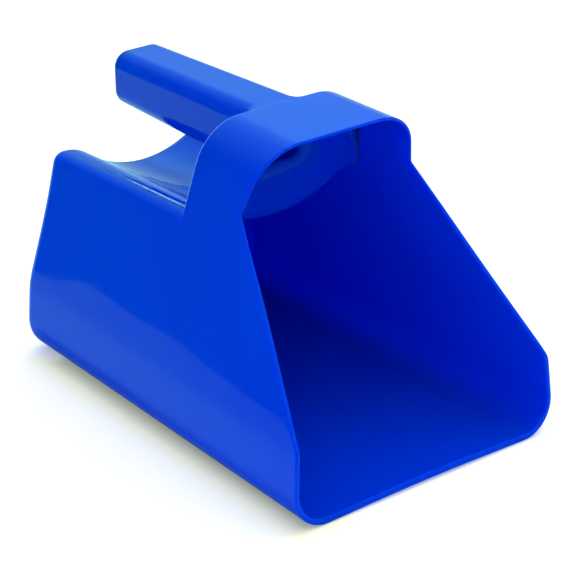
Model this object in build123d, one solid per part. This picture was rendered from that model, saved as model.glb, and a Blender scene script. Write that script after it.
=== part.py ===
from build123d import *
import os
from math import atan, cos, radians, sin, sqrt, tan

# Enclosed feed scoop in moulded plastic: a flat-bottomed tub with a raked mouth, a hood over
# the back of the mouth, a dished deck behind it and a hollow grip over the deck.
# Millimetres. +Z is up, the mouth faces -Y, the grip runs towards +Y, and the origin is at the
# centre of the footprint. Distances along the scoop are given from the front lip.

# ---- overall sizes ----
LENGTH = 236.0             # front lip to the foot of the rear wall
FLOOR_WIDTH = 160.0        # across the floor at the lip, before the corners are rounded
HOOD_HEIGHT = 155.0        # floor to the top of the hood

# ---- walls ----
WALL = 2.6                 # side walls, rear wall, hood, deck and grip
FLOOR = 3.4                # floor and lip
DRAFT = tan(radians(4))    # lower side band, lip and deck
LEAN = tan(radians(16))    # upper side walls, leaning in
TAPER = tan(radians(1))    # narrowing towards the rear, and lean of the rear wall
BAND_HEIGHT = 40.0         # height of the bend between the lower band and the upper wall

# ---- mouth and hood, seen from the side ----
SHOULDER = (76.0, 123.4)   # distance and height where the raked rim meets the hood
HOOD_FRONT = 66.3          # front edge of the hood at its top
HOOD_REAR_TOP = 114.0      # rear edge of the hood at its top
HOOD_REAR_FOOT = 118.4     # the same edge, at the height of the foot below
HOOD_FOOT_HEIGHT = 100.0

# ---- deck ----
CREST_FRONT = 111.5        # height of the ridge along each side, at the hood
CREST_FALL = 0.0390        # fall of the ridge per mm towards the rear
CREST_INSET = 5.9          # from the outer face of the side wall in to the top of the ridge
DISH_FRONT = 97.5          # bottom of the dish at the hood
DISH_FALL = 0.0633         # fall of the dish per mm towards the rear
DISH_SHARE = 0.745         # dish radius as a share of the dish and crest radii together
DECK_LIP = 0.35            # how far the deck panel stands proud of the shell along its edge

# ---- rounded corners ----
FLOOR_CORNER = 18.0
SHOULDER_CORNER = 7.5      # outer side of each ridge
REAR_CORNER = 7.0          # all round the rear wall
BEND_RADIUS = 60.0
KINK_RADIUS = 7.0          # mouth rim, at the top of the lip
HOOD_SHOULDER = 26.0
HOOD_REAR_EDGE = 1.2
RIM_EDGE = 1.0             # both edges of the mouth's rim
PLATE_FOOT = 7.0           # inner corner between the hood's rear plate and the deck
PLATE_CORNER = 4.0         # outer corner between the same two
SEAM_CORNER = 4.0          # rear corners of the deck panel, in plan

# ---- grip ----
GRIP_HALF_FRONT = 16.8
GRIP_HALF_REAR = 15.3
GRIP_TOP_FRONT = 154.9
GRIP_TOP_REAR = 151.2
GRIP_FOOT_FRONT = 121.6
GRIP_FOOT_REAR = 122.8
GRIP_CORNER = 8.5
GRIP_END = 233.0           # distance of the closed end from the lip
CAP_EDGE = 4.0             # rounding of the cap's outer edge
CAP_DEPTH = 4.6            # thickness of the end cap
CAP_SPIGOT = 7.0           # how far the cap plugs into the grip

OUTER_FLOOR_HALF = FLOOR_WIDTH / 2
MARGIN = 60.0              # overrun of cutting shapes past the scoop
FRONT = -LENGTH / 2        # y of the lip
REAR_SEAM = LENGTH - TAPER * CREST_FRONT - REAR_CORNER    # distance of the deck panel's rear edge
UNDER_DECK = 60.0          # a height between the floor and the deck
RIM_REACH = 1.0            # how near the mouth's outline the ends of the rim's edges lie


def station(distance):
    """y of a distance measured back from the front lip."""
    return FRONT + distance


def half_width(distance, height, gap):
    """Half width between the side walls, gap mm inside their outer faces."""
    lower = OUTER_FLOOR_HALF - DRAFT * height - TAPER * distance
    lower -= gap * sqrt(1 + DRAFT**2 + TAPER**2)
    upper = OUTER_FLOOR_HALF - DRAFT * BAND_HEIGHT - LEAN * (height - BAND_HEIGHT)
    upper -= TAPER * distance + gap * sqrt(1 + LEAN**2 + TAPER**2)
    return min(lower, upper)


def bend_height(gap):
    """Height of the bend in the side walls, gap mm inside their outer faces."""
    shift = sqrt(1 + LEAN**2 + TAPER**2) - sqrt(1 + DRAFT**2 + TAPER**2)
    return BAND_HEIGHT - gap * shift / (LEAN - DRAFT)


def sleeve(gap, floor, top):
    """Tapered tube of flat side walls, longer than the scoop at both ends."""
    rings = []
    for distance in (-MARGIN, LENGTH + MARGIN):
        right = []
        for height in (floor, bend_height(gap), top):
            right.append((half_width(distance, height, gap), station(distance), height))
        left = [(-x, y, z) for x, y, z in reversed(right)]
        rings.append(right + left)
    front, rear = rings
    faces = [Face(Wire.make_polygon(ring)) for ring in rings]
    for i in range(len(front)):
        j = (i + 1) % len(front)
        faces.append(Face(Wire.make_polygon([front[i], front[j], rear[j], rear[i]])))
    return Solid(Shell(faces))


def side_prism(points):
    """Full-width prism from a side outline of (distance, height) points."""
    outline = make_face(Polyline([(station(d), h) for d, h in points], close=True))
    return extrude(Plane.YZ * outline, FLOOR_WIDTH, both=True)


def hood_rear(height, gap):
    """Distance of the hood's rear plane at a height, gap mm in front of it."""
    slope = (HOOD_REAR_FOOT - HOOD_REAR_TOP) / (HOOD_HEIGHT - HOOD_FOOT_HEIGHT)
    return HOOD_REAR_TOP + slope * (HOOD_HEIGHT - height) - gap * sqrt(1 + slope**2)


def behind_hood(gap):
    """Space behind the hood's rear plane."""
    low, high = -MARGIN, HOOD_HEIGHT + MARGIN
    far = LENGTH + 2 * MARGIN
    return side_prism([(hood_rear(low, gap), low), (hood_rear(high, gap), high), (far, high), (far, low)])


def deck_outline(distance, gap):
    """Cross-section of the space over the dished deck, gap mm above its skin's lower face.

    Each side is an S of two tangent arcs: a wide one for the dish and a smaller one that
    brings it level at the crest.
    """
    crest = CREST_FRONT - CREST_FALL * (distance - HOOD_REAR_TOP) - gap
    floor = DISH_FRONT - DISH_FALL * (distance - HOOD_REAR_TOP) - gap
    span = half_width(distance, crest + gap, 0) - CREST_INSET
    turn = 2 * atan((crest - floor) / span)
    radii = span / sin(turn)
    dish = DISH_SHARE * radii + gap
    crown = radii - dish
    right = [(span - crown * sin(turn * part), crest - crown * (1 - cos(turn * part))) for part in (0, 0.5, 1)]
    left = [(-x, z) for x, z in right]
    high = HOOD_HEIGHT + MARGIN
    line = Line((FLOOR_WIDTH, high), (FLOOR_WIDTH, crest)) + Line((FLOOR_WIDTH, crest), right[0])
    line += ThreePointArc(*right)
    line += ThreePointArc(right[2], (0, floor), left[2])
    line += ThreePointArc(left[2], left[1], left[0])
    line += Line(left[0], (-FLOOR_WIDTH, crest)) + Line((-FLOOR_WIDTH, crest), (-FLOOR_WIDTH, high))
    line += Line((-FLOOR_WIDTH, high), (FLOOR_WIDTH, high))
    plane = Plane(origin=(0, station(distance), 0), x_dir=(1, 0, 0), z_dir=(0, -1, 0))
    return plane * make_face(line)


def over_deck(gap):
    """Space over the deck, gap mm above its skin's lower face."""
    ends = [deck_outline(distance, gap) for distance in (HOOD_REAR_TOP - MARGIN, LENGTH + MARGIN)]
    return loft(ends, ruled=True)


def rear_wall(height, gap):
    """Distance of the rear wall's plane at a height, gap mm inside its outer face."""
    return LENGTH - TAPER * height - gap * sqrt(1 + TAPER**2)


def blank(gap, floor, front):
    """Walls, floor and rear plane of the scoop, gap mm inside its outer faces, square-cornered.

    front is the rest of the side outline, from the top down to the floor.
    """
    top = HOOD_HEIGHT - gap
    rear = [(rear_wall(floor, gap), floor), (rear_wall(top, gap), top)]
    return sleeve(gap, floor, top) & side_prism(rear + front)


def centres(shape, wanted):
    """Edges of a shape whose centre, given as (side, distance, height), passes a test."""
    chosen = []
    for edge in shape.edges():
        centre = edge.center()
        if wanted(abs(centre.X), centre.Y - FRONT, centre.Z):
            chosen.append(edge)
    return chosen


def on_plane(shape, distance_at, above=0.0):
    """Edges of a shape with both ends on a plane given as distance at a height."""
    chosen = []
    for edge in shape.edges():
        ends = [v.Y - FRONT - distance_at(v.Z) for v in edge.vertices()]
        if max(abs(end) for end in ends) < 0.02 and edge.center().Z > above:
            chosen.append(edge)
    return chosen


def rounded_form(gap, floor, front):
    """The scoop's form, gap mm inside its outer faces, with its long corners rounded."""
    top = HOOD_HEIGHT - gap
    bend = bend_height(gap)
    form = (blank(gap, floor, front) - (over_deck(gap) & behind_hood(gap))).solids()[0]
    form = form.fillet(HOOD_SHOULDER - gap, centres(form, lambda x, d, z: abs(z - top) < 0.1 and x > 30))
    if gap == 0:
        form = form.fillet(HOOD_REAR_EDGE, on_plane(form, lambda z: hood_rear(z, 0), CREST_FRONT + 0.5))
    form = form.fillet(FLOOR_CORNER - floor, centres(form, lambda x, d, z: abs(z - floor) < 0.1 and x > 60))
    bends = centres(form, lambda x, d, z: abs(z - bend) < 0.3 and x > 60 and 60 < d < 160)
    form = form.fillet(BEND_RADIUS - gap, bends)
    crests = centres(form, lambda x, d, z: abs(d - 175) < 6 and x > 48 and z > CREST_FRONT - 10)
    form = form.fillet(SHOULDER_CORNER - gap, crests)
    return form.fillet(REAR_CORNER - gap, on_plane(form, lambda z: rear_wall(z, gap)))


def body():
    """The scoop's outer form, solid."""
    kink = (BAND_HEIGHT * DRAFT, BAND_HEIGHT)
    form = rounded_form(0, 0, [(HOOD_FRONT, HOOD_HEIGHT), SHOULDER, kink, (0, 0)])
    across = centres(form, lambda x, d, z: x < 1 and abs(d - kink[0]) < 0.2 and abs(z - kink[1]) < 0.2)
    return form.fillet(KINK_RADIUS, across)


def plate_foot(shape, gap):
    """Edges where the hood's rear plane meets the deck, gap mm inside the outer faces."""
    edges = on_plane(shape, lambda z: hood_rear(z, gap))
    return [edge for edge in edges if edge.center().Z < CREST_FRONT and abs(edge.center().X) < 46]


def cavity():
    """The space inside the scoop, open at the front."""
    form = rounded_form(WALL, FLOOR, [(-MARGIN, HOOD_HEIGHT - WALL), (-MARGIN, FLOOR)])
    return form.fillet(PLATE_FOOT, plate_foot(form, WALL))


def deck_plan():
    """Prism that bounds the deck panel in plan: the two crests and the rear seam."""
    front, rear = HOOD_REAR_TOP - MARGIN, REAR_SEAM
    right = []
    for distance in (front, rear):
        crest = CREST_FRONT - CREST_FALL * (distance - HOOD_REAR_TOP)
        right.append((half_width(distance, crest, 0) - CREST_INSET, station(distance)))
    left = [(-x, y) for x, y in reversed(right)]
    outline = make_face(Polyline(right + left, close=True))
    prism = Pos(0, 0, UNDER_DECK) * extrude(outline, HOOD_HEIGHT)
    corners = centres(prism, lambda x, d, z: abs(d - rear) < 0.1 and x > 30)
    return prism.fillet(SEAM_CORNER, corners)


def hood_arch():
    """Slab that closes the hood's rear, inside the hood's inner faces."""
    top = HOOD_HEIGHT - WALL
    slab = blank(WALL, UNDER_DECK, [(-MARGIN, top), (-MARGIN, UNDER_DECK)])
    slab = slab.fillet(HOOD_SHOULDER - WALL, centres(slab, lambda x, d, z: abs(z - top) < 0.1 and x > 30))
    return slab & behind_hood(WALL) - behind_hood(0)


def grip_section(distance, inset):
    """Rounded cross-section of the grip, inset mm inside its outer face."""
    part = (distance - HOOD_REAR_TOP) / (GRIP_END - HOOD_REAR_TOP)
    half = GRIP_HALF_FRONT + (GRIP_HALF_REAR - GRIP_HALF_FRONT) * part
    top = GRIP_TOP_FRONT + (GRIP_TOP_REAR - GRIP_TOP_FRONT) * part
    foot = GRIP_FOOT_FRONT + (GRIP_FOOT_REAR - GRIP_FOOT_FRONT) * part
    section = RectangleRounded(2 * (half - inset), top - foot - 2 * inset, GRIP_CORNER - inset)
    plane = Plane(origin=(0, station(distance), (top + foot) / 2), x_dir=(1, 0, 0), z_dir=(0, -1, 0))
    return plane * section


def grip_form(inset, start, end):
    """Tapered bar of the grip's section between two distances."""
    return loft([grip_section(start, inset), grip_section(end, inset)], ruled=True)


def largest(shape):
    """The largest solid of a shape."""
    return shape.solids().sort_by(SortBy.VOLUME)[-1]


def mouth_distance(height):
    """Distance of the mouth's rim at a height."""
    if height < BAND_HEIGHT:
        return DRAFT * height
    if height < SHOULDER[1]:
        part = (height - BAND_HEIGHT) / (SHOULDER[1] - BAND_HEIGHT)
        return BAND_HEIGHT * DRAFT * (1 - part) + SHOULDER[0] * part
    part = (height - SHOULDER[1]) / (HOOD_HEIGHT - SHOULDER[1])
    return SHOULDER[0] * (1 - part) + HOOD_FRONT * part


def hood_and_tub(outside, inside, panel_space):
    """The shell: floor, side walls, rear wall and hood in one moulding, with a rounded rim."""
    shell = largest(outside - inside - panel_space)
    rim = []
    for edge in shell.edges():
        off = [abs(v.Y - FRONT - mouth_distance(v.Z)) for v in edge.vertices()]
        if max(off) < RIM_REACH and edge.center().Y - FRONT < SHOULDER[0] + 1:
            rim.append(edge)
    return shell.fillet(RIM_EDGE, rim)


def deck_panel(outside, inside, panel_space):
    """The dished deck and the plate that closes the hood's rear, with the grip's opening."""
    lip = (over_deck(0) - over_deck(-DECK_LIP)) & behind_hood(0) & deck_plan()
    panel = largest((outside - inside) & panel_space) + lip
    panel = largest(panel - grip_form(WALL, HOOD_REAR_TOP - 20, GRIP_END))
    return panel.fillet(PLATE_CORNER, plate_foot(panel, 0))


def grip(outside):
    """Hollow grip, its root fitted flush to the hood's rounded rear edge."""
    tube = grip_form(0, HOOD_REAR_TOP - 10, GRIP_END - CAP_DEPTH)
    bore = grip_form(WALL, HOOD_REAR_TOP - 20, GRIP_END)
    return largest(tube - bore - outside)


def grip_end_cap():
    """Cap that closes the grip, with a hollow spigot inside the tube."""
    cap = grip_form(0, GRIP_END - CAP_DEPTH, GRIP_END)
    rear = cap.faces().sort_by(Axis.Y)[-1]
    cap = cap.fillet(CAP_EDGE, rear.edges())
    seat = GRIP_END - CAP_DEPTH
    spigot = grip_form(WALL, seat - CAP_SPIGOT, seat)
    hollow = grip_form(2 * WALL, seat - CAP_SPIGOT, seat)
    return (cap + (spigot - hollow)).solids()[0]


def main():
    outside = body()
    inside = cavity()
    panel_space = (deck_plan() & behind_hood(0)) + hood_arch()
    parts = {
        "scoop_shell": hood_and_tub(outside, inside, panel_space),
        "deck_panel": deck_panel(outside, inside, panel_space),
        "grip": grip(outside),
        "grip_end_cap": grip_end_cap(),
    }
    os.makedirs("parts", exist_ok=True)
    for name, part in parts.items():
        part.label = name
        export_step(part, f"parts/{name}.step")


main()
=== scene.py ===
from math import cos, hypot, radians, sin, sqrt, tan

import bmesh
import bpy
from mathutils import Matrix, Vector


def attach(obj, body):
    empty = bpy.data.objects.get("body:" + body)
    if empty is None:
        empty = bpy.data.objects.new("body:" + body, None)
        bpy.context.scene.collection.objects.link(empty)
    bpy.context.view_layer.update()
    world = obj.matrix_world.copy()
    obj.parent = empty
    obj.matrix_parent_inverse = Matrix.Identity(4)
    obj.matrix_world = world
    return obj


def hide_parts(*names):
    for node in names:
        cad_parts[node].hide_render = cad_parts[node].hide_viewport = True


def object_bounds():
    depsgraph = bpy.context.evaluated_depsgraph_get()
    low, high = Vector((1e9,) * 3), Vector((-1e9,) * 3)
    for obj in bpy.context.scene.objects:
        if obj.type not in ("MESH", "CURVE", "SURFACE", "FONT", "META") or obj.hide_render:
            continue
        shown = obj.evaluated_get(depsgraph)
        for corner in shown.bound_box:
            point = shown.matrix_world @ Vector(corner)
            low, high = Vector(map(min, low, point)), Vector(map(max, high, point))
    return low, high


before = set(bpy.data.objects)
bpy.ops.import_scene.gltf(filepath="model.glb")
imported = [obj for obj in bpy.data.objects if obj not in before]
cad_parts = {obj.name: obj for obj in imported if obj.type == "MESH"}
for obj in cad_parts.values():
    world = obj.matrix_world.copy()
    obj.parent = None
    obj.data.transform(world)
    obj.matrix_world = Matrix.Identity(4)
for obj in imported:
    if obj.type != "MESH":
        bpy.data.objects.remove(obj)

cad_low, cad_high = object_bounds()


# ---- camera ----
AZIMUTH = radians(-37.72)      # round from -Y; below zero is towards -X
ELEVATION = radians(25.42)
ROLL = radians(-0.51)
DISTANCE = 1.0902
AIM = Vector((0.0021, -0.0080, 0.0585))
SENSOR = 36
FOCAL_IN_SENSORS = 3.8502


def add_camera():
    right = Vector((cos(AZIMUTH), sin(AZIMUTH), 0))
    level_part = cos(ELEVATION)
    back = Vector((sin(AZIMUTH) * level_part, -cos(AZIMUTH) * level_part, sin(ELEVATION)))
    up = back.cross(right)
    rolled_right = cos(ROLL) * right + sin(ROLL) * up
    rolled_up = cos(ROLL) * up - sin(ROLL) * right
    turn = Matrix((rolled_right, rolled_up, back)).transposed().to_4x4()
    data = bpy.data.cameras.new("camera")
    data.sensor_width = SENSOR
    data.lens = FOCAL_IN_SENSORS * SENSOR
    camera = bpy.data.objects.new("camera", data)
    camera.matrix_world = Matrix.Translation(AIM + DISTANCE * back) @ turn
    bpy.context.scene.collection.objects.link(camera)
    bpy.context.scene.camera = camera


class Graph:
    """Short hand for building a node tree."""

    def __init__(self, tree):
        self.tree = tree

    def node(self, kind, **inputs):
        made = self.tree.nodes.new(kind)
        for key, value in inputs.items():
            self.set(made, key, value)
        return made

    def set(self, made, key, value):
        """Link a socket to an input, or set the input's own value.

        The key is the input's name, or i and its number.
        """
        numbered = key[0] == "i" and key[1:].isdigit()
        socket = made.inputs[int(key[1:])] if numbered else made.inputs[key]
        if isinstance(value, bpy.types.NodeSocket):
            self.tree.links.new(value, socket)
        else:
            socket.default_value = value

    def attribute(self, name):
        made = self.node("ShaderNodeAttribute")
        made.attribute_name = name
        return made.outputs["Fac"]

    def noise(self, where, scale, detail, roughness):
        made = self.node("ShaderNodeTexNoise", Vector=where, Scale=scale, Detail=detail,
                         Roughness=roughness)
        return made.outputs["Fac"]

    def coordinates(self, kind):
        """Texture coordinates of a kind, as one vector."""
        return self.node("ShaderNodeTexCoord").outputs[kind]

    def split(self, vector):
        return self.node("ShaderNodeSeparateXYZ", Vector=vector).outputs

    def math(self, operation, a, b=0.0):
        made = self.node("ShaderNodeMath")
        made.operation = operation
        self.set(made, "i0", a)
        self.set(made, "i1", b)
        return made.outputs[0]

    def ramp(self, value, low, high, to_low=0.0, to_high=1.0):
        """Smooth step of a value between two limits."""
        made = self.node("ShaderNodeMapRange")
        made.interpolation_type = "SMOOTHSTEP"
        keys = ("Value", "From Min", "From Max", "To Min", "To Max")
        for key, given in zip(keys, (value, low, high, to_low, to_high)):
            self.set(made, key, given)
        return made.outputs[0]

    def blend(self, part, first, second):
        """Colour mix; the two ends are colours or sockets."""
        made = self.node("ShaderNodeMix")
        made.data_type = "RGBA"
        self.set(made, "i0", part)
        for key, value in (("i6", first), ("i7", second)):
            self.set(made, key, (*value, 1) if isinstance(value, tuple) else value)
        return made.outputs[2]


def principled(material):
    return material.node_tree.nodes["Principled BSDF"]


# ---- room ----
DIM = (0.02, 0.50, 1.0)        # what the sides reflect
BRIGHT = (0.51, 1.54, 1.86)    # what the tops reflect
LOW = (0.39, 0.84, 0.95)       # what the deck reflects, low down behind the scoop
PAPER = (0.62, 1.28, 1.2)      # what the low faces reflect of the paper they stand on
AMBIENT = 0.86                 # what reaches matt surfaces from above and from both sides
AMBIENT_ENDS = 0.25            # and, low down, from in front and behind
BACKDROP = (0.8, 0.6)          # level direction of the bright part of the room, past the scoop
BLACK = (0, 0, 0)
WHITE = (1, 1, 1)


def add_room():
    """White to the camera, grey to matt surfaces; reflected, it is dim at the sides and bright
    above and behind.
    """
    world = bpy.data.worlds.new("room")
    bpy.context.scene.world = world
    world.use_nodes = True
    g = Graph(world.node_tree)
    x, y, z = g.split(g.coordinates("Generated"))
    away = g.math("ADD", g.math("MULTIPLY", x, BACKDROP[0]), g.math("MULTIPLY", y, BACKDROP[1]))
    overhead = g.ramp(z, 0.33, 0.75)
    behind = g.ramp(away, 0.15, 0.75)
    backdrop = g.blend(behind, DIM, g.blend(g.ramp(z, 0.2, 0.38), LOW, BRIGHT))
    mirrored = g.blend(overhead, backdrop, BRIGHT)
    sideways = g.math("ABSOLUTE", x)
    broad = g.math("MAXIMUM", g.ramp(sideways, 0.35, 0.8), g.ramp(z, 0.2, 0.65))
    ambient = g.blend(g.ramp(broad, 0.0, 1.0, AMBIENT_ENDS, AMBIENT), BLACK, WHITE)
    path = g.node("ShaderNodeLightPath")
    lit = g.blend(path.outputs["Is Diffuse Ray"], mirrored, ambient)
    background = world.node_tree.nodes["Background"]
    g.set(background, "Color", g.blend(path.outputs["Is Camera Ray"], lit, WHITE))


def add_softbox():
    """Large soft light over the right of the scoop, for the diffuse light only."""
    data = bpy.data.lights.new("softbox", "AREA")
    data.shape = "SQUARE"
    data.size = 1.6
    data.energy = 10.0
    box = bpy.data.objects.new("softbox", data)
    box.location = (0.5, 0.2, 1.5)
    box.rotation_euler = (-Vector(box.location)).to_track_quat("-Z", "Y").to_euler()
    box.visible_glossy = False
    bpy.context.scene.collection.objects.link(box)


FLOOR_LOW = (-0.373, -0.7)     # its left edge is where the dim part of the room begins
FLOOR_HIGH = (1.0, 1.0)
CARD_DROP = 0.0005
FOOT_SIDE = -0.066             # x of the foot's left edge
FOOT_MIDDLE = -0.01            # y of its middle
FOOT_HALF_LENGTH = 0.098


def paper_sheet(name, height, colour, glow):
    """Level sheet under the scoop."""
    (x0, y0), (x1, y1) = FLOOR_LOW, FLOOR_HIGH
    mesh = bpy.data.meshes.new(name)
    corners = [(x0, y0, height), (x1, y0, height), (x1, y1, height), (x0, y1, height)]
    mesh.from_pydata(corners, [], [(0, 1, 2, 3)])
    sheet = bpy.data.objects.new(name, mesh)
    bpy.context.scene.collection.objects.link(sheet)
    material = bpy.data.materials.new(name)
    material.use_nodes = True
    shader = principled(material)
    shader.inputs["Base Color"].default_value = (*colour, 1)
    shader.inputs["Roughness"].default_value = 0.9
    shader.inputs["Specular IOR Level"].default_value = 0.1
    shader.inputs["Emission Color"].default_value = (*glow, 1)
    shader.inputs["Emission Strength"].default_value = 1.0
    mesh.materials.append(material)
    return sheet


def outside(g, value, centre, half):
    """How far a value lies outside a band about a centre."""
    return g.math("SUBTRACT", g.math("ABSOLUTE", g.math("SUBTRACT", value, centre)), half)


def add_paper():
    """The sheet itself, warmer along the left foot to offset the blue light thrown on it, and
    glowing more away from the foot, painted light that makes the foot's shadow fade sooner.
    """
    white, warm, glow = (0.97, 0.97, 0.93), (0.97, 0.97, 0.36), (0.15, 0.15, 0.15)
    paper = paper_sheet("floor", 0.0, white, glow)
    paper.visible_glossy = False
    material = paper.data.materials[0]
    g = Graph(material.node_tree)
    x, y, _ = g.split(g.coordinates("Object"))
    beside = outside(g, x, FOOT_SIDE, 0.0)
    from_foot = g.math("MAXIMUM", beside, outside(g, y, FOOT_MIDDLE, FOOT_HALF_LENGTH))
    shader = principled(material)
    g.set(shader, "Base Color", g.blend(g.ramp(from_foot, -0.005, 0.031), warm, white))
    # painted light: the sheet glows more away from the left foot, so the shadow beside it fades
    # sooner
    g.set(shader, "Emission Strength", g.ramp(from_foot, 0.001, 0.012, 1.0, 1.75))


def add_reflection_card():
    """A card just under the paper, for reflections only: dark by the footprint, a painted shadow
    of the scoop in its reflection, and dimmer right.
    """
    card = paper_sheet("reflection_card", -CARD_DROP, BLACK, PAPER)
    material = card.data.materials[0]
    g = Graph(material.node_tree)
    x, y, _ = g.split(g.coordinates("Object"))
    clear = g.math("MAXIMUM", outside(g, x, 0.0, cad_high[0]), outside(g, y, 0.0, cad_high[1]))
    # painted shadow: the card's glow drops near the scoop's footprint
    by_scoop = g.ramp(clear, -0.002, 0.03, 0.12, 1.0)
    strength = g.math("MULTIPLY", by_scoop, g.ramp(x, 0.1, 0.2, 1.0, 0.65))
    g.set(principled(material), "Emission Strength", strength)
    card.visible_camera = False
    card.visible_diffuse = False
    card.visible_transmission = False
    card.visible_shadow = False


# ---- plastic ----
BLUE = (0.0, 0.039, 0.632)
DEEP_BLUE = (0.0, 0.034, 0.612)
# the next two colours are painted highlights, faint and strong, laid where edges catch the light
FAINT_HIGHLIGHT = (0.0, 0.15, 0.72)
PAINTED_HIGHLIGHT = (0.38, 0.62, 0.95)


def plastic():
    """Self-coloured glossy plastic: faint flow clouding, moulded micro-texture and painted
    highlights along the edges that catch the light.
    """
    material = bpy.data.materials.new("blue_plastic")
    material.use_nodes = True
    g = Graph(material.node_tree)
    shader = principled(material)
    where = g.coordinates("Object")
    cloud = g.noise(where, 14.0, 3.0, 0.5)
    grain = g.noise(where, 900.0, 2.0, 0.5)
    waves = g.noise(where, 30.0, 2.0, 0.45)
    wear = g.noise(where, 60.0, 4.0, 0.6)
    # painted highlight: a per-point strength, broken up by the fine grain, lightens the colour
    # along edges that catch the light; it also roughens the gloss and cuts the subsurface light
    # there
    edge_highlight = g.attribute("edge_highlight")
    uneven_highlight = g.math("MULTIPLY", edge_highlight, g.ramp(grain, 0.25, 0.6, 0.55, 1.0))
    plain = g.blend(g.ramp(cloud, 0.35, 0.65), BLUE, DEEP_BLUE)
    highlighted = g.blend(g.ramp(uneven_highlight, 0.0, 0.35), plain, FAINT_HIGHLIGHT)
    g.set(shader, "Base Color", g.blend(g.ramp(uneven_highlight, 0.35, 0.95), highlighted, PAINTED_HIGHLIGHT))
    firm = g.math("MAXIMUM", edge_highlight, g.attribute("near_joint"))
    g.set(shader, "Subsurface Weight", g.math("SUBTRACT", 1.0, g.math("MULTIPLY", firm, 0.97)))
    roughness = g.ramp(wear, 0.4, 0.8, 0.03, 0.09)
    g.set(shader, "Roughness", g.math("ADD", roughness, g.math("MULTIPLY", edge_highlight, 0.2)))
    height = g.math("ADD", g.math("MULTIPLY", grain, 0.02), g.math("MULTIPLY", waves, 0.5))
    bump = g.node("ShaderNodeBump", Strength=0.1, Distance=0.0004, Height=height)
    g.set(shader, "Normal", bump.outputs["Normal"])
    shader.inputs["Specular Tint"].default_value = (0.05, 0.7, 1.0, 1)
    shader.inputs["IOR"].default_value = 1.27
    shader.inputs["Subsurface Radius"].default_value = (0.05, 0.15, 1.0)
    shader.inputs["Subsurface Scale"].default_value = 0.008
    return material


# ---- the moulding's nominal shape, in millimetres, with distances from the front lip ----
HALF_LENGTH = -cad_low[1] * 1000
HOOD_TOP = cad_high[2] * 1000
FLOOR_HALF_WIDTH = 80.0
WALL = 2.6
BEND_HEIGHT = 40.0             # of the bend between the lower band and the upper wall
DRAFT = tan(radians(4))        # of the lower band and the lip
TURN = radians(16)             # lean of the upper side walls
TAPER = tan(radians(1))
SHOULDER = (76.0, 123.4)       # distance and height where the raked rim meets the hood
HOOD_FRONT = 66.3
HOOD_SHOULDER = 26.0           # radius of the hood's upper corners
HOOD_REAR = 114.0              # rear edge of the hood at its top
REAR_LEAN = 0.08
CREST = 111.5                  # height of each ridge's crest at the hood
CREST_FALL = 0.039
CREST_INSET = 5.9              # from the side wall in to the crest
CREST_END = 207.0

GRIP_SIDE = (16.8, -0.0126)    # the grip's half width at the hood, and its change along the grip
GRIP_FOOT = (121.6, 0.01)      # likewise the height of its underside
GRIP_TOP = (154.9, -0.031)     # and of its top
CAP_SEAT = 228.4               # where the end cap meets the grip

# ---- and its unevenness and smaller shapes ----
WARP = (                       # how far each upper wall sinks in, by distance
    (-5, 0.42), (14, 0.38), (55, 0.26), (91, 0.04), (135, 0.07), (165, 0.03),
    (180, 0.12), (192, 0.4), (206, 0.66), (222, 0.85), (240, 1.0))
LIP_RISE = 1.1                 # in the middle of the front lip
RIM_THINNING = 0.9             # at the hood's rim
RIM_BAND = 14.0                # and how far in it reaches
DECK_LIP = 0.35                # how far the deck stands proud, which it loses towards the rear
EDGE_FILL = (112.0, 114.6)     # where the hood's rear edge is filled out at the grip's top
EDGE_FILL_BASE = 153.0         # and above which height
EDGE_DROP = 0.08               # what the edge still falls there
FLARE = 8.0                    # the fillets beside the grip's root
BORE_MOUTH = 8.0               # rounding where the grip's bore opens into the hood
PLATE_CORNER = 4.0             # rounding between the plate and the hood's inner faces
BORE_EDGE = 0.3                # thickness left at the bore's mouth
BEAD_RADIUS = 0.5
BEAD_START = 116.5
BEAD_LENGTH = 90.0
BEAD_STEPS = 40
BEAD_SIDES = 8
BEAD_PROUD = 0.2               # how far its middle line is above the crest
FACET = 0.3                    # how near a point is to a face that it lies on
SHARP = radians(28)            # edges that turn more than this aren't shaded smooth
# strengths of the painted highlights: round the mouth's rim, along the crest bead and at the end
# cap's edge
RIM_HIGHLIGHT = 0.07
CREST_HIGHLIGHT = 0.85
CAP_HIGHLIGHT = 0.5


def smooth(value, low, high):
    part = min(max((value - low) / (high - low), 0.0), 1.0)
    return part * part * (3 - 2 * part)


def table_value(table, at):
    for (a, first), (b, second) in zip(table, table[1:]):
        if at <= b:
            return first + (second - first) * smooth(at, a, b)
    return table[-1][1]


def fillet_rise(radius, clear):
    """Height of a concave fillet at a distance from the wall that it runs up."""
    return radius - sqrt(radius**2 - (radius - clear) ** 2)


def rim_distance(height):
    """Distance of the mouth's rim at a height: the lip, the raked rim, then the hood's front."""
    if height < BEND_HEIGHT:
        return DRAFT * height
    shoulder, shoulder_height = SHOULDER
    foot = DRAFT * BEND_HEIGHT
    if height < shoulder_height:
        rise = shoulder_height - BEND_HEIGHT
        return foot + (height - BEND_HEIGHT) * (shoulder - foot) / rise
    rise = HOOD_TOP - shoulder_height
    return shoulder - (height - shoulder_height) * (shoulder - HOOD_FRONT) / rise


def rear_plane(height):
    """Distance of the hood's rear face at a height."""
    return HOOD_REAR + REAR_LEAN * (HOOD_TOP - height)


def upper_half_width(distance, height):
    bend = FLOOR_HALF_WIDTH - DRAFT * BEND_HEIGHT
    return bend - tan(TURN) * (height - BEND_HEIGHT) - TAPER * distance


def crest_height(distance):
    return CREST - CREST_FALL * (distance - HOOD_REAR)


def crest_side(distance):
    return upper_half_width(distance, crest_height(distance)) - CREST_INSET


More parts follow.
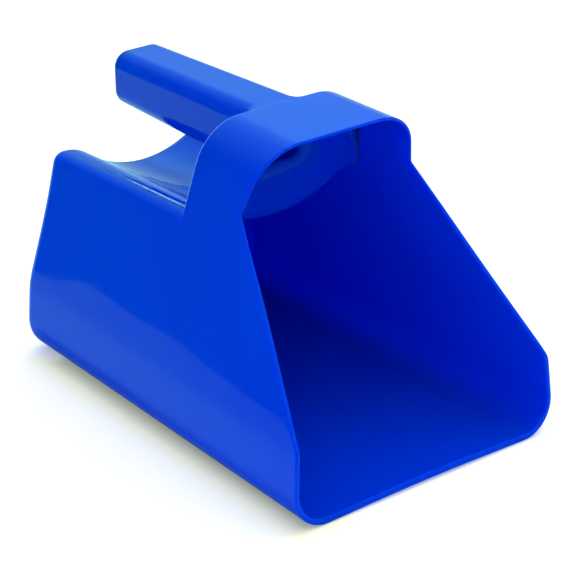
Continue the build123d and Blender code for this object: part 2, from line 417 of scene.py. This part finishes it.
def depth_in_wall(x, distance, height):
    """Depth under the hood's outer face, and the way out of it, in a cross-section."""
    side = (upper_half_width(distance, height) - x) * cos(TURN)
    below = HOOD_TOP - height
    centre_z = HOOD_TOP - HOOD_SHOULDER
    centre_x = upper_half_width(distance, centre_z) - HOOD_SHOULDER / cos(TURN)
    dx, dz = x - centre_x, height - centre_z
    if dx > 0 and dz > dx * tan(TURN):
        length = hypot(dx, dz)
        return HOOD_SHOULDER - length, dx / length, dz / length
    if side < below:
        return side, cos(TURN), sin(TURN)
    return below, 0.0, 1.0


# ---- where a point of the perfect moulding lies on the real one ----
def settled(x, distance, height):
    """The hood's thinner rim, the sunken side walls and the bowed lip."""
    sign = -1.0 if x < 0 else 1.0
    x = abs(x)
    into = distance - rim_distance(height)
    move_x = move_z = 0.0
    if height > 90 and into < RIM_BAND:
        depth, out_x, out_z = depth_in_wall(x, distance, height)
        reach = smooth(height, 92, 116) * (1 - smooth(into, 0, RIM_BAND))
        push = RIM_THINNING * min(max(depth / WALL, 0.0), 1.0) * reach
        if depth < WALL + FACET:
            move_x, move_z = push * out_x, push * out_z
    swell = smooth(height, 30, 76) * (1 - smooth(height, 80, 108))
    move_x -= table_value(WARP, distance) * swell * smooth(x, 36, 60)
    if height < 12:
        across_lip = (1 - min(x / 66, 1.0) ** 2) ** 1.5
        move_z += LIP_RISE * across_lip * (1 - smooth(distance, 0, 45))
    return sign * (x + move_x), distance, height + move_z


def shell_settled(x, distance, height):
    """The shell, with its rear hood edge filled out where the grip's top runs into it."""
    start, end = EDGE_FILL
    if height > EDGE_FILL_BASE and start < distance < end:
        level_top = HOOD_TOP - EDGE_DROP * smooth(distance, 112.8, HOOD_REAR)
        height += (level_top - height) * (1 - smooth(abs(x), 9, 17))
    return settled(x, distance, height)


def bore_edge(x, height):
    """How far outside the grip's bore a point of the hood's rear plate lies."""
    half, middle, half_height, corner = 14.2, 138.25, 14.05, 5.9
    dx = abs(x) - (half - corner)
    dz = abs(height - middle) - (half_height - corner)
    if dx > 0 and dz > 0:
        return hypot(dx, dz) - corner
    return max(dx, dz) - corner


def on_plate(distance, height):
    """Whether a point lies on the inner face of the plate that closes the hood's rear."""
    return abs(distance - rear_plane(height) + WALL) < FACET


def panel_settled(x, distance, height):
    """The deck panel, with the bore's mouth and the plate's corners rounded on the inner side."""
    if height > 100 and on_plate(distance, height):
        clear_of_bore = max(bore_edge(x, height), 0.0)
        if clear_of_bore < BORE_MOUTH:
            rise = fillet_rise(BORE_MOUTH, clear_of_bore)
            distance += rise * (WALL - BORE_EDGE) / BORE_MOUTH
        clear_of_wall = max(depth_in_wall(abs(x), distance, height)[0] - WALL, 0.0)
        if clear_of_wall < PLATE_CORNER and height > 108:
            distance -= fillet_rise(PLATE_CORNER, clear_of_wall) * smooth(height, 114, 134)
    if height > 85 and distance > 150:
        height -= DECK_LIP * smooth(distance, 150, 200)
    return settled(x, distance, height)


def along_grip(line, distance):
    """A measure of the grip at a distance, from its value at the hood and its change per mm."""
    at_hood, change = line
    return at_hood + change * (distance - HOOD_REAR)


def grip_settled(x, distance, height):
    """The grip, with the fillet that widens it where it grows out of the hood."""
    behind = distance - rear_plane(height)
    if behind > FLARE:
        return settled(x, distance, height)
    half = along_grip(GRIP_SIDE, distance)
    over_foot = height - along_grip(GRIP_FOOT, distance)
    under_top = along_grip(GRIP_TOP, distance) - height
    depth = min(half - abs(x), over_foot, under_top)
    if depth <= WALL * 0.75 or abs(x) >= half - 2:
        x *= 1 + fillet_rise(FLARE, max(behind, 0.0)) / half
    return settled(x, distance, height)


# ---- how strong each point's painted highlight is, from 0 to 1, and how near a joint ----
def near_joint(x, distance, height):
    """Nearness to the grip's root, where light doesn't pass from one piece into the next."""
    if height < 118 or distance > 122:
        return 0.0
    lengthways = 1 - smooth(abs(distance - rear_plane(height)), 1.5, 5)
    return lengthways * (1 - smooth(abs(x), 20, 30))


def shell_highlight(x, distance, height):
    """Painted highlight on the shell: along the hood's rear edge and, faintly, round the mouth's
    rim.
    """
    depth = depth_in_wall(abs(x), distance, height)[0] if height > 90 else 5.0
    behind = distance - rear_plane(height)
    if height > 108 and depth < 1.25 and behind > -1.25:
        beside_grip = smooth(abs(x), 14, 24) if height > 140 else 1.0
        outermost = 1 - smooth(depth, 0.4, 1.1)
        at_edge = smooth(behind, -1.25, -0.75) * outermost
        return at_edge * beside_grip * smooth(height, 108, 114)
    return RIM_HIGHLIGHT if abs(distance - rim_distance(height)) < 0.25 else 0.0


def panel_highlight(x, distance, height):
    """Painted highlight along the bead on the crests."""
    off = abs(abs(x) - crest_side(distance))
    if height > crest_height(distance) - 0.6 and off < 0.7 and 116 < distance < 208:
        return CREST_HIGHLIGHT * (1 - smooth(distance, 150, CREST_END))
    return 0.0


def grip_highlight(x, distance, height):
    """The grip gets no painted highlight."""
    return 0.0


def cap_highlight(x, distance, height):
    """Painted highlight on the end cap's edge, where it meets the grip."""
    return CAP_HIGHLIGHT if abs(distance - CAP_SEAT) < 0.05 else 0.0


# ---- cuts and additions to the meshes ----
def across(*distances):
    """Cutting planes across the scoop; level and lengthwise give the other two kinds."""
    return [(Vector((0, (d - HALF_LENGTH) / 1000, 0)), Vector((0, 1, 0))) for d in distances]


def level(*heights):
    return [(Vector((0, 0, z / 1000)), Vector((0, 0, 1))) for z in heights]


def lengthwise(*sides):
    return [(Vector((x / 1000, 0, 0)), Vector((1, 0, 0))) for x in sides]


def bisect(work, geometry, cuts):
    """Cut some of a mesh along planes."""
    for origin, normal in cuts:
        cut = bmesh.ops.bisect_plane(work, geom=geometry, dist=1e-7,
                                     plane_co=origin, plane_no=normal)
        geometry = cut["geom"]


def cut_plate(work):
    """Cut the plate's inner face into a fine grid."""
    faces = []
    for face in work.faces:
        corners = [(v.co.y * 1000 + HALF_LENGTH, v.co.z * 1000) for v in face.verts]
        if all(on_plate(distance, height) and height > 100 for distance, height in corners):
            faces.append(face)
    edges = {edge for face in faces for edge in face.edges}
    verts = {vert for face in faces for vert in face.verts}
    grid = lengthwise(*range(-62, 63)) + level(*range(101, 154))
    bisect(work, faces + list(edges) + list(verts), grid)


def add_bead(work, side):
    """The fine moulding line along one crest of the deck: a tapering half-sunk bead."""
    rings = []
    for step in range(BEAD_STEPS + 1):
        distance = BEAD_START + BEAD_LENGTH * step / BEAD_STEPS
        radius = BEAD_RADIUS * (1 - 0.8 * smooth(distance, 170, CREST_END))
        ring = []
        for turn in range(BEAD_SIDES):
            angle = radians(360 * turn / BEAD_SIDES)
            x = side * (crest_side(distance) + radius * cos(angle))
            height = crest_height(distance) + BEAD_PROUD + radius * sin(angle)
            place = (x / 1000, (distance - HALF_LENGTH) / 1000, height / 1000)
            ring.append(work.verts.new(place))
        rings.append(ring)
    faces = [rings[0][::-1], rings[-1]]
    for first, second in zip(rings, rings[1:]):
        for i in range(BEAD_SIDES):
            after = (i + 1) % BEAD_SIDES
            faces.append([first[i], first[after], second[after], second[i]])
    for corners in faces:
        work.faces.new(corners if side > 0 else corners[::-1])


def finish_panel(work):
    cut_plate(work)
    for side in (-1, 1):
        add_bead(work, side)


def uneven(node, cuts, deform, highlighted, finish=None):
    """A new object from a node's mesh, cut finer and settled, with its painted edge highlights
    marked.
    """
    work = bmesh.new()
    work.from_mesh(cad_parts[node].data)
    work.transform(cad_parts[node].matrix_world)
    bmesh.ops.remove_doubles(work, verts=work.verts, dist=1e-6)
    bisect(work, work.verts[:] + work.edges[:] + work.faces[:], cuts)
    if finish:
        finish(work)
    highlight_layer = work.verts.layers.float.new("edge_highlight")
    joint_layer = work.verts.layers.float.new("near_joint")
    for vert in work.verts:
        x, y, height = (value * 1000 for value in vert.co)
        distance = y + HALF_LENGTH
        vert[highlight_layer] = highlighted(x, distance, height)
        vert[joint_layer] = near_joint(x, distance, height)
        x, distance, height = deform(x, distance, height)
        vert.co = (x / 1000, (distance - HALF_LENGTH) / 1000, height / 1000)
    for face in work.faces:
        face.smooth = True
    for edge in work.edges:
        edge.smooth = not (edge.is_manifold and edge.calc_face_angle(0.0) > SHARP)
    mesh = bpy.data.meshes.new(node + "_moulded")
    work.to_mesh(mesh)
    work.free()
    mesh.materials.append(blue)
    made = bpy.data.objects.new(node + "_moulded", mesh)
    bpy.context.scene.collection.objects.link(made)
    weighted = made.modifiers.new("even gloss", "WEIGHTED_NORMAL")
    weighted.keep_sharp = True
    weighted.weight = 80
    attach(made, "root")
    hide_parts(node)


# ---- the scene ----
blue = plastic()
shell_cuts = across(*range(4, 236, 8), 110, 112)
shell_cuts += level(*range(30, 80, 5), *range(84, 150, 8))
shell_cuts += lengthwise(*range(-60, 61, 12))
uneven("scoop_shell", shell_cuts, shell_settled, shell_highlight)
panel_cuts = across(*range(124, 236, 8))
uneven("deck_panel", panel_cuts, panel_settled, panel_highlight, finish_panel)
uneven("grip", across(*range(114, 127)), grip_settled, grip_highlight)
uneven("grip_end_cap", [], settled, cap_highlight)
add_camera()
add_room()
add_softbox()
add_paper()
add_reflection_card()
bpy.context.scene.view_settings.view_transform = "Standard"
